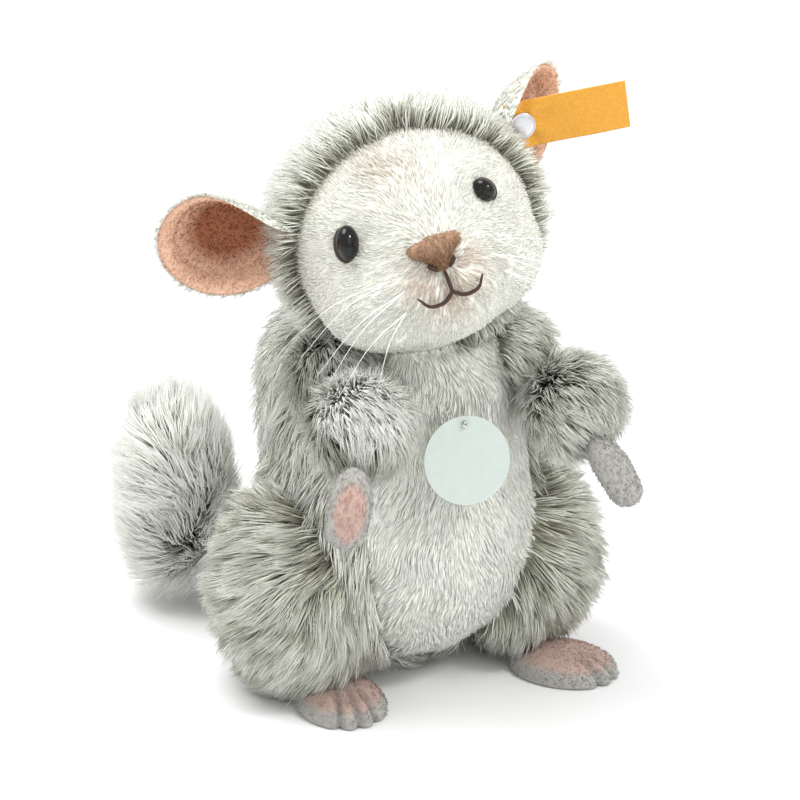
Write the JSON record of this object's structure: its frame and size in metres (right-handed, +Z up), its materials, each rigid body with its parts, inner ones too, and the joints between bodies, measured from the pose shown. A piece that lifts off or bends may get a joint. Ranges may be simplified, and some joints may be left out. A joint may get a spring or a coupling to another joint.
{
  "type": "plush toy chinchilla",
  "caption": "Stuffed plush toy chinchilla that sits upright with its head cocked, its arms held out and a bushy tail curled behind it.",
  "frame": {"origin": "the middle of the flat seat, on the surface the toy sits on", "axes": "+Z up, -Y the way the toy's body faces, +X towards the toy's left side"},
  "size_m": [0.1779, 0.2084, 0.2294],
  "materials": {
    "long_plush": "long frosted pile, dark grey-brown at the root and whitish at the tip",
    "face_plush": "short creamy white pile",
    "belly_plush": "soft warm white pile of middle length",
    "velour": "very short grey-brown velour pile, shading to pink on the palms and toes",
    "ear_lining": "very short peach velour pile",
    "nose_cloth": "very short tan-brown pile",
    "thread": "dark brown embroidery thread",
    "tie_cord": "thin white cord",
    "nylon": "clear white bristle",
    "eye_button": "polished black dome",
    "ribbon": "golden yellow woven ribbon, with nothing printed on it",
    "stud_metal": "silvery metal, smooth and plain",
    "card": "smooth pale card, with nothing printed on it"
  },
  "bodies": {
    "root": {"arm_left": "long_plush", "arm_right": "long_plush", "belly": "belly_plush", "card_tie": "tie_cord", "chest_card": "card", "ear_left": "velour", "ear_lining_left": "ear_lining", "ear_lining_right": "ear_lining", "ear_right": "velour", "ear_stud": "stud_metal", "ear_tag": "ribbon", "eye_left": "eye_button", "eye_right": "eye_button", "face": "face_plush", "foot_left": "velour", "foot_right": "velour", "hand_left": "velour", "hand_right": "velour", "head": "long_plush", "leg_left": "long_plush", "leg_right": "long_plush", "mouth_stitch": "thread", "nose": "nose_cloth", "nostril_left": "thread", "nostril_right": "thread", "tail": "long_plush", "torso": "long_plush", "whiskers_left_a": "nylon", "whiskers_left_b": "nylon", "whiskers_left_c": "nylon", "whiskers_right_a": "nylon", "whiskers_right_b": "nylon", "whiskers_right_c": "nylon"}
  },
  "joints": []
}
